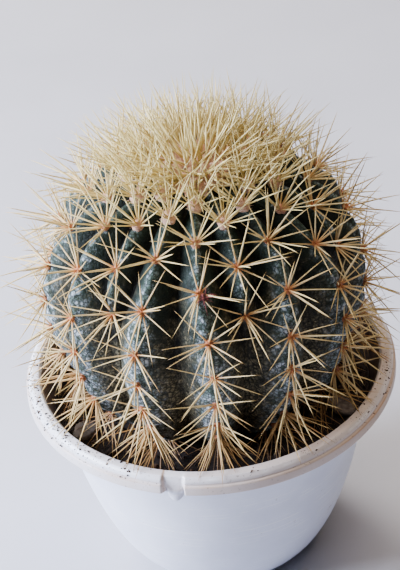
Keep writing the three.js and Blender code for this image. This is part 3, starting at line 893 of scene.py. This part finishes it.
# ------------------------------------------------------------------ soil
SOIL_SIDES = 180
SURFACE_RINGS = 22
SOIL_LUMPS = ((1.5, 11), (0.8, 4), (0.45, 1.9))
SOIL_GAP, FOOT_ROOM = 0.3, 0.5          # between soil and pot, and between soil and root
CRUMBS = (900, 0.5, 1.8)                # how many, the smallest and the largest
CHUNKS = (110, 1.2, 3.4)


def inner_wall_radius(z):
    slope = (WALL_TOP_RADIUS - SHOULDER_RADIUS) / (WALL_TOP - SHOULDER_HEIGHT)
    return SHOULDER_RADIUS + (z - SHOULDER_HEIGHT) * slope - WALL


def make_soil(material):
    foot = float(outline_at(SOIL_ARC, "r")) - 4
    wall = inner_wall_radius(SOIL_TOP) - SOIL_GAP
    buried = [(0, WALL + SOIL_GAP)] + bowl(WALL + SOIL_GAP, 8)
    surface = [(wall + (foot - wall) * share, SOIL_TOP) for share in np.linspace(0, 1, SURFACE_RINGS)]
    profile = np.array(buried + surface + foot_profile(FOOT_ROOM, SOIL_GAP))
    turn = np.radians(np.linspace(0, 360, SOIL_SIDES + 1))
    points = on_circle(profile[:, 0], turn[:, None], profile[:, 1])
    first, last = len(buried), len(buried) + SURFACE_RINGS
    top = points[:-1, first:last].reshape(-1, 3)
    points[:-1, first:last, 2] += uneven(top, SOIL_LUMPS, 8).reshape(SOIL_SIDES, SURFACE_RINGS)
    points[-1] = points[0]
    soil, _, _ = laid_grid("soil_bed", points)
    write_values(soil, "tone", 0)
    close_seams(soil)
    smooth(soil, 60)
    return dress(soil, material, ["soil"])


def crumb_pattern(subdivisions):
    clear_selection()
    bpy.ops.mesh.primitive_ico_sphere_add(subdivisions=subdivisions, radius=1)
    crumb = new_piece("crumb_pattern")
    write_values(crumb, "tone", 0)
    return crumb


def scattered(name, pattern, places, material):
    """Copies of a crumb, each squashed, turned and broken differently. places holds (point, size)."""
    pattern_points = points_of(pattern)
    crumbs = []
    for point, size in places:
        seed = draw.uniform(0, 90)
        shape = pattern_points * (1 + 0.45 * relief(pattern_points, 0.8, seed))[:, None]
        stretch = np.array([draw.uniform(0.7, 1.35), draw.uniform(0.6, 1.0), draw.uniform(0.45, 0.8)]) * size
        axis = Vector((draw.gauss(0, 1), draw.gauss(0, 1), draw.gauss(0, 1))).normalized()
        turn = np.array(Quaternion(axis, draw.uniform(0, math.tau)).to_matrix())
        points = (shape * stretch) @ turn.T + np.array(point)
        crumbs.append(laid_copy(pattern, points * MM, tone=draw.uniform(0, 1)))
    return dress(joined(name, crumbs), material)


def resting_point(tree, x, y):
    """The point of a surface right below a place, in mm, or None."""
    hit = tree.ray_cast(Vector((x, y, 300)) * MM, Vector((0, 0, -1)))[0]
    return hit / MM if hit else None


def soil_places(tree, count, smallest, largest):
    places = []
    inner, outer = float(outline_at(SOIL_ARC, "r")) - 3, inner_wall_radius(SOIL_TOP) - 2
    for _ in range(count):
        radius = math.sqrt(draw.uniform(inner ** 2, outer ** 2))
        size = smallest + (largest - smallest) * draw.random() ** 2.2
        point = resting_point(tree, *polar(radius, draw.uniform(0, 360), 0).xy)
        if point:
            places.append((point + Vector((0, 0, 0.25 * size)), size))
    return places


# specks of soil on the rim: (middle azimuth, spread, count)
RIM_SPECKS = [(-62, 24, 300), (-86, 14, 110), (-30, 14, 40), (74, 9, 60), (52, 6, 24), (28, 5, 18),
              (10, 3, 8), (150, 60, 90), (-150, 45, 80)]


def rim_places(tree):
    places = []
    for middle, spread, count in RIM_SPECKS:
        for _ in range(count):
            radius = draw.uniform(RIM_INNER_RADIUS + 0.8, RIM_RADIUS - 0.4)
            size = 0.18 + 0.62 * draw.random() ** 3
            point = resting_point(tree, *polar(radius, draw.gauss(middle, spread * 0.55), 0).xy)
            if point and point.z > POT_HEIGHT - SKIRT_DROP:
                places.append((point + Vector((0, 0, 0.1 * size)), size))
    return places


# ------------------------------------------------------------------ stone chips
def make_chip(name, material):
    """A flat flake of stone that fills its CAD node's box, with broken, uneven edges."""
    node = frame["nodes"][name]
    corners = np.array([v.co for v in node.data.vertices]) / MM
    low, high = corners.min(axis=0), corners.max(axis=0)
    middle = (low + high) / 2
    base = corners[corners[:, 2] < low[2] + 0.01]
    angles = np.degrees(np.arctan2(base[:, 1] - middle[1], base[:, 0] - middle[0]))
    order = np.argsort(angles)
    reach = np.hypot(*(base[order, :2] - middle[:2]).T)
    clear_selection()
    bpy.ops.mesh.primitive_cylinder_add(vertices=28, radius=1, depth=1, end_fill_type="TRIFAN")
    chip = new_piece(name + "_stone")
    with editing(chip):
        bpy.ops.mesh.subdivide(number_cuts=3)
    points = points_of(chip)
    turn = np.degrees(np.arctan2(points[:, 1], points[:, 0]))
    widest = np.interp(turn, angles[order], reach, period=360) + 0.5
    level = np.abs(points[:, 2]) * 2
    share = np.hypot(points[:, 0], points[:, 1])
    rim = np.where(share > 0.98, 1 - 0.07 * level ** 3, 1.0)
    points[:, 0] *= widest * rim
    points[:, 1] *= widest * rim
    points[:, 2] *= (high[2] - low[2]) * (1 - 0.2 * share ** 6)
    rough = 0.3 * relief(points, 3.5, middle[0]) + 0.12 * relief(points, 1.3, middle[1])
    points += (points / np.maximum(np.linalg.norm(points, axis=1, keepdims=True), 0.1)) * rough[:, None]
    lay_points(chip, (points + middle) * MM)
    close_seams(chip)
    smooth(chip, 42)
    return dress(chip, material, [name])


# ------------------------------------------------------------------ materials
def linear(hex_colour):
    """An sRGB hex colour as the linear values that a shader works with."""
    parts = [int(hex_colour[i:i + 2], 16) / 255 for i in (1, 3, 5)]
    return tuple(p / 12.92 if p <= 0.04045 else ((p + 0.055) / 1.055) ** 2.4 for p in parts) + (1.0,)


def add_node(tree, kind, inputs=(), stops=(), out=None, **settings):
    """Adds a node and gives one of its outputs: the first in use, or the one that out names.

    inputs fills the sockets in use, in their order or by name, each with a value, a hex colour or another
    node's output. stops fills a colour ramp, from left to right.
    """
    node = tree.nodes.new("ShaderNode" + kind)
    for name, value in settings.items():
        setattr(node, name, value)
    if isinstance(inputs, dict):
        filled = [(node.inputs[name], value) for name, value in inputs.items()]
    else:
        filled = zip([socket for socket in node.inputs if socket.enabled], inputs)
    for socket, value in filled:
        if isinstance(value, bpy.types.NodeSocket):
            tree.links.new(value, socket)
        else:
            socket.default_value = linear(value) if isinstance(value, str) else value
    if stops:
        elements = node.color_ramp.elements
        for position, _ in stops[2:]:
            elements.new(position)
        for element, (position, colour) in zip(elements, stops):
            element.position = position
            element.color = linear(colour)
    return node.outputs[out] if out else next((socket for socket in node.outputs if socket.enabled), None)


def new_material(name, *attributes):
    """A material, the function that adds a node to it, the place on the piece and the piece's attributes."""
    material = bpy.data.materials.new(name)
    material.use_nodes = True
    material.node_tree.nodes.clear()
    add = partial(add_node, material.node_tree)
    values = [add("Attribute", out="Fac", attribute_name=attribute) for attribute in attributes]
    return material, add, add("TexCoord", out="Object"), *values


def finish_material(material, colour, roughness, height=None, strength=0.5, distance=0.0003, **constants):
    """The surface shader with its constants set on its own sockets, and a bump where a height is given."""
    add = partial(add_node, material.node_tree)
    inputs = {"Base Color": colour, "Roughness": roughness}
    inputs.update({name.replace("_", " "): value for name, value in constants.items()})
    if height is not None:
        inputs["Normal"] = add("Bump", {"Height": height, "Strength": strength, "Distance": distance})
    add("OutputMaterial", [add("BsdfPrincipled", inputs)])
    return material


# A cactus's epidermis: a tough, faintly glossy dark green skin. A grey-blue bloom of wax, in cells of about
# 2 mm, lies along the crests. Old skin lower down has a net of dark lines and turns to brown-grey cork.
# The furrows are painted near black as shade.
def skin_material():
    m, add, place, ridge, aside, age = new_material("waxy_cactus_epidermis", "ridge", "aside", "age")
    patches = add("TexNoise", [place, 1 / 0.009, 5])
    blotches = add("TexNoise", [place, 1 / 0.0038, 3])
    grain = add("TexNoise", [place, 1 / 0.0012, 5])
    warped = add("VectorMath", [grain.node.outputs["Color"], (0.0016, 0.0016, 0.0016), place],
                 operation="MULTIPLY_ADD")
    net = add("TexVoronoi", [warped, 1 / 0.0027], feature="DISTANCE_TO_EDGE")
    lines = add("MapRange", [net, 0.03, 0.2, 1, 0])
    cell_edge = add("TexVoronoi", [warped, 1 / 0.0021], feature="DISTANCE_TO_EDGE")
    cracks = add("MapRange", [cell_edge, 0.02, 0.22, 0.9, 0])
    cells = add("TexVoronoi", [warped, 1 / 0.0021], out="Color")
    green = add("ValToRGB", [patches], [(0.3, "#0d1611"), (0.7, "#1e2f27")])
    out_of_furrow = add("MapRange", [ridge, 0.05, 0.8], interpolation_type="SMOOTHSTEP")
    # painted shade: the furrow bottoms are painted near black, for the shade that fills the deep furrows
    flank_with_painted_furrow_shade = add("Mix", [out_of_furrow, "#070a07", green], data_type="RGBA")
    # cork and its dark net: more of both with age, in patches
    aged = add("Math", [patches, 1.1, age], operation="MULTIPLY_ADD")
    cork_share = add("MapRange", [aged, 0.84, 1.3, 0, 0.9], interpolation_type="SMOOTHSTEP")
    cork_tone = add("Math", [cells, 0.26, grain], operation="MULTIPLY_ADD")
    cork = add("ValToRGB", [cork_tone], [(0.44, "#2a2a1c"), (0.62, "#57523c"), (0.84, "#968b6f")])
    corked = add("Mix", [cork_share, flank_with_painted_furrow_shade, cork], data_type="RGBA")
    net_share = add("MapRange", [aged, 0.75, 1.25, 0, 0.85], interpolation_type="SMOOTHSTEP")
    net_part = add("Math", [lines, net_share], operation="MULTIPLY")
    netted = add("Mix", [net_part, corked, "#0b0d0a"], data_type="RGBA")
    # bloom: ragged, within about 3 mm of the crest on young skin and 14 mm on old
    reach = add("MapRange", [age, 0.22, 0.62, 3, 14.5])
    outness = add("Math", [aside, reach], operation="DIVIDE")
    ragged = add("Math", [blotches, -0.9, outness], operation="MULTIPLY_ADD")
    spread = add("Math", [patches, -0.9, ragged], operation="MULTIPLY_ADD")
    near_crest = add("MapRange", [spread, -0.85, 0.2, 1, 0], interpolation_type="SMOOTHSTEP")
    on_ridge = add("MapRange", [ridge, 0.3, 0.75])
    bloom_share = add("Math", [near_crest, on_ridge], operation="MULTIPLY")
    wax_tone = add("Math", [cells, 0.26, blotches], operation="MULTIPLY_ADD")
    bloom_tone = add("Math", [age, 0.3, wax_tone], operation="MULTIPLY_ADD")
    bloom = add("ValToRGB", [bloom_tone],
                [(0.52, "#27352e"), (0.68, "#4f635a"), (0.84, "#8c9ca1"), (1, "#c2cdd5")])
    cracked = add("Mix", [cracks, bloom, "#1e241f"], data_type="RGBA")
    waxed = add("Mix", [bloom_share, netted, cracked], data_type="RGBA")
    height = add("Math", [lines, -0.4, grain], operation="MULTIPLY_ADD")
    return finish_material(m, waxed, 0.6, height, 0.8, 0.0006, Specular_IOR_Level=0.18)


# Spines are horn-like, lignified and smooth: straw to cream, rust-brown where they leave the pad.
# Lower, older spines are mixed towards a darker tan and brown: partly their own older colour, partly painted
# shade.
def spine_material():
    m, add, place, along, tone, youth = new_material("lignified_spine", "along", "tone", "youth")
    streaks = add("TexNoise", [place, 1 / 0.0012, 2])
    grown = add("ValToRGB", [along], [(0, "#94431f"), (0.05, "#bf7442"), (0.11, "#d0a064"), (0.28, "#dfc891"),
                                      (0.85, "#d6bb79"), (1, "#b88f54")])
    young = add("ValToRGB", [along], [(0, "#c79a74"), (0.15, "#cdb572"), (0.5, "#e1d293"), (1, "#cbb777")])
    fresh = add("Mix", [youth, grown, young], data_type="RGBA")
    # tone darkens a spine towards tan: random variation, older colour, and painted shade on the lower spines;
    # dead ones turn brown-grey
    shade = add("Math", [streaks, 0.5, tone], operation="MULTIPLY_ADD")
    shade_share = add("MapRange", [shade, 0.3, 1.25])
    shaded = add("Mix", [youth, "#a8783f", "#a98f4f"], data_type="RGBA")
    alive = add("Mix", [shade_share, fresh, shaded], data_type="RGBA")
    dead_share = add("MapRange", [tone, 0.8, 1.5, 0, 0.9])
    colour = add("Mix", [dead_share, alive, "#59442f"], data_type="RGBA")
    return finish_material(m, colour, 0.42)


# Areole felt: short matted hairs, rust-brown when old, pinkish tan while young.
def felt_material():
    m, add, place, youth = new_material("areole_felt", "youth")
    hairs = add("TexNoise", [place, 1 / 0.0007, 3])
    old = add("ValToRGB", [hairs], [(0.3, "#7f4325"), (0.7, "#ca8353")])
    new = add("ValToRGB", [hairs], [(0.3, "#d6a488"), (0.7, "#f6d6bf")])
    colour = add("Mix", [youth, old, new], data_type="RGBA")
    return finish_material(m, colour, 0.95, hairs, 0.9, 0.0004, Sheen_Weight=0.3)


# A withered flower: papery shreds dried to a dark red-brown.
def flower_material():
    m, add, place = new_material("withered_petals")
    fibre = add("TexNoise", [place, 1 / 0.0009, 3])
    colour = add("ValToRGB", [fibre], [(0.35, "#35110f"), (0.65, "#7d3832")])
    return finish_material(m, colour, 0.8, fibre, 0.6, 0.0004)


# Injection-moulded white polypropylene with a soft gloss and a bluish cast, ringed with fine mould lines.
# Tan water stains lie in the rim's crease and on its skirt, soil dust on the rim, and dried mud inside.
# Painted light: the rim is painted bluish white on its lit left, the stain is painted stronger towards the
# shaded right, and each notch's left end face is painted brown as shade.
def pot_material():
    m, add, place, stain_and_shade, soil_mark = new_material("white_polypropylene", "stain_and_shade", "soil_mark")
    cloud = add("TexNoise", [place, 1 / 0.016, 5])
    grit = add("TexNoise", [place, 1 / 0.0014, 3])
    x = add("SeparateXYZ", [place], out="X")
    z = x.node.outputs["Z"]
    on_rim = add("MapRange", [z, 0.1105, 0.1125])
    # plain plastic: bluish on the body, warmer on the rim; the rim is painted bluish white on its left, the
    # side the window lights, and keeps its own cream towards the right
    body = add("ValToRGB", [cloud], [(0.3, "#d7dbea"), (0.7, "#e0e4f1")])
    rim = add("ValToRGB", [cloud], [(0.3, "#d5c9c3"), (0.7, "#ded4cf")])
    rim_with_painted_side_light = add("Mix", [add("MapRange", [x, -0.07, 0.03]), "#d9dbe1", rim], data_type="RGBA")
    clean = add("Mix", [on_rim, body, rim_with_painted_side_light], data_type="RGBA")
    # mould lines: rings of uneven depth, about 1.5 mm apart
    rings = add("TexNoise", [z, 1 / 0.0015, 1], noise_dimensions="1D")
    ring_line = add("MapRange", [rings, 0.62, 0.7])
    ring_patch = add("MapRange", [cloud, 0.46, 0.6, 0, 0.45])
    ring_share = add("Math", [ring_line, ring_patch], operation="MULTIPLY")
    ringed = add("Mix", [ring_share, clean, "#ffffff"], data_type="RGBA")
    # stain, with painted shade: stronger to the right, the rim's shaded side away from the window
    right = add("MapRange", [x, -0.1, 0.1, 0.6, 1.2])
    streak = add("MapRange", [cloud, 0.3, 0.7, 0.45, 1.1])
    stain_and_shade_here = add("Math", [stain_and_shade, right], operation="MULTIPLY")
    stain_and_shade_share = add("Math", [stain_and_shade_here, streak], operation="MULTIPLY", use_clamp=True)
    stained_and_shaded = add("Mix", [stain_and_shade_share, ringed, "#b89679"], data_type="RGBA")
    # dust and dried mud
    dust = add("MapRange", [grit, 0.62, 0.72, 0, 0.55])
    dust_share = add("Math", [dust, on_rim], operation="MULTIPLY")
    dusty = add("Mix", [dust_share, stained_and_shaded, "#7b6553"], data_type="RGBA")
    gritty = add("Math", [grit, 0.8, soil_mark], operation="MULTIPLY_ADD")
    muddy = add("Math", [cloud, 0.8, gritty], operation="MULTIPLY_ADD")
    mud_share = add("MapRange", [muddy, 0.98, 1.3, 0, 0.94], interpolation_type="SMOOTHSTEP")
    mud = add("ValToRGB", [grit], [(0.35, "#2c1d14"), (0.7, "#6f5645")])
    colour = add("Mix", [mud_share, dusty, mud], data_type="RGBA")
    return finish_material(m, colour, 0.36, ring_share, 0.25, 0.0004)


# Peat potting mix, near black when shaded, with lighter bits of bark.
def soil_material():
    m, add, place, tone = new_material("peat_potting_mix", "tone")
    grain = add("TexNoise", [place, 1 / 0.0013, 5])
    mixed = add("Math", [tone, 0.35, grain], operation="MULTIPLY_ADD")
    colour = add("ValToRGB", [mixed],
                 [(0.3, "#0c0806"), (0.5, "#1e1410"), (0.75, "#37271c"), (0.98, "#6b5140")])
    return finish_material(m, colour, 0.95, grain, 0.8, 0.0008)


# Broken grey stone with a matt, finely grained face.
def stone_material():
    m, add, place = new_material("broken_grey_stone")
    grain = add("TexNoise", [place, 1 / 0.0025, 6])
    colour = add("ValToRGB", [grain], [(0.3, "#4b423c"), (0.7, "#7d7169")])
    return finish_material(m, colour, 0.85, grain, 0.5, 0.0005)


def floor_material():
    m, add, place = new_material("pale_matt_floor")
    cloud = add("TexNoise", [place, 1 / 0.12, 3])
    colour = add("ValToRGB", [cloud], [(0.3, "#b4b4bb"), (0.7, "#bbbbc2")])
    return finish_material(m, colour, 0.8)


# ------------------------------------------------------------------ floor, light and camera
def make_floor(material):
    clear_selection()
    bpy.ops.mesh.primitive_plane_add(size=6)
    floor = new_piece("floor")
    floor.data.materials.append(material)


def add_lamp(name, place, aim, size, power, colour):
    clear_selection()
    bpy.ops.object.light_add(type="AREA", location=place)
    lamp = bpy.context.object
    lamp.name = name
    lamp.data.shape = "DISK"
    lamp.data.size = size
    lamp.data.energy = power
    lamp.data.color = linear(colour)[:3]
    lamp.rotation_euler = (Vector(aim) - Vector(place)).to_track_quat("-Z", "Y").to_euler()


def light_scene():
    world = bpy.data.worlds.new("soft_light")
    bpy.context.scene.world = world
    world.use_nodes = True
    background = world.node_tree.nodes["Background"]
    add = partial(add_node, world.node_tree)
    direction = add("TexCoord", out="Generated")
    towards = add("VectorMath", [direction, (-0.9, 0.15, 0.2)], operation="DOT_PRODUCT")
    glow = add("ValToRGB", [add("MapRange", [towards, -0.2, 0.9])], [(0, "#38332f"), (1, "#dfe2ee")])
    world.node_tree.links.new(glow, background.inputs["Color"])
    background.inputs["Strength"].default_value = 0.36
    middle = (0, 0, 0.15)
    add_lamp("window", (-0.93, -0.1, 0.52), middle, 0.65, 66, "#dfe8ff")
    add_lamp("ceiling", (0.4, 0.15, 1.7), middle, 1.2, 21, "#ffeedd")
    add_lamp("behind", (-0.8, 1.5, 1.2), (-0.1, 1.1, 0), 0.9, 54, "#fffaf6")


PHOTO_HEIGHT = 570          # pixels
FOCAL_PIXELS = 2000         # focal length, worked out from the photograph's perspective
CAMERA_PLACE = (-1.207, -846.12, 795.87)
CAMERA_TARGET = (-1.207, 0.0, 169.876)
CAMERA_ROLL = -5.857        # degrees


def make_camera():
    clear_selection()
    bpy.ops.object.camera_add(location=Vector(CAMERA_PLACE) * MM)
    camera = bpy.context.object
    camera.data.sensor_width = 36
    camera.data.lens = FOCAL_PIXELS * camera.data.sensor_width / PHOTO_HEIGHT
    aim = (Vector(CAMERA_TARGET) - Vector(CAMERA_PLACE)).to_track_quat("-Z", "Y")
    camera.rotation_mode = "QUATERNION"
    camera.rotation_quaternion = aim @ Quaternion((0, 0, 1), math.radians(CAMERA_ROLL))
    bpy.context.scene.camera = camera


# ------------------------------------------------------------------ putting it together
def build():
    spine_finish, felt, earth, rock = spine_material(), felt_material(), soil_material(), stone_material()
    stem = make_stem(skin_material())
    pot = make_pot(pot_material())
    soil = make_soil(earth)
    stem_tree, pot_tree, soil_tree = surface_tree(stem), surface_tree(pot), surface_tree(soil)

    pattern = spine_pattern()
    areoles = [Areole(rib, arc) for rib in RIBS for arc in areole_arcs(rib)]
    solid = (stem_tree, pot_tree, soil_tree)
    rib_spines = [s for areole in areoles for s in areole_spines(areole, solid)]
    for rib in RIBS:
        if not is_short(rib):
            rib_spines += foot_spines(rib, solid) + furrow_fibres(rib, solid)
    model_spines("rib_spines", rib_spines, pattern, spine_finish)
    model_spines("crown_spines", crown_spines((pot_tree,)), pattern, spine_finish, ["cactus_crown"])
    pad = pad_pattern()
    make_wool(pad, felt)
    model_pads(areoles, pad, felt)
    beside = next(areole for areole in areoles if areole.rib == 0 and areole.arc > 70)
    withered_flower(beside, pattern, pad, flower_material())

    fine, coarse = crumb_pattern(1), crumb_pattern(2)
    scattered("soil_crumbs", fine, soil_places(soil_tree, *CRUMBS), earth)
    scattered("soil_chunks", coarse, soil_places(soil_tree, *CHUNKS), earth)
    scattered("rim_specks", fine, rim_places(pot_tree), earth)
    for name in ("stone_chip_left", "stone_chip_right"):
        make_chip(name, rock)
    for used in (pattern, pad, fine, coarse):
        bpy.data.objects.remove(used)
    bpy.data.orphans_purge()

    make_floor(floor_material())
    light_scene()
    make_camera()


build()
clear_selection()
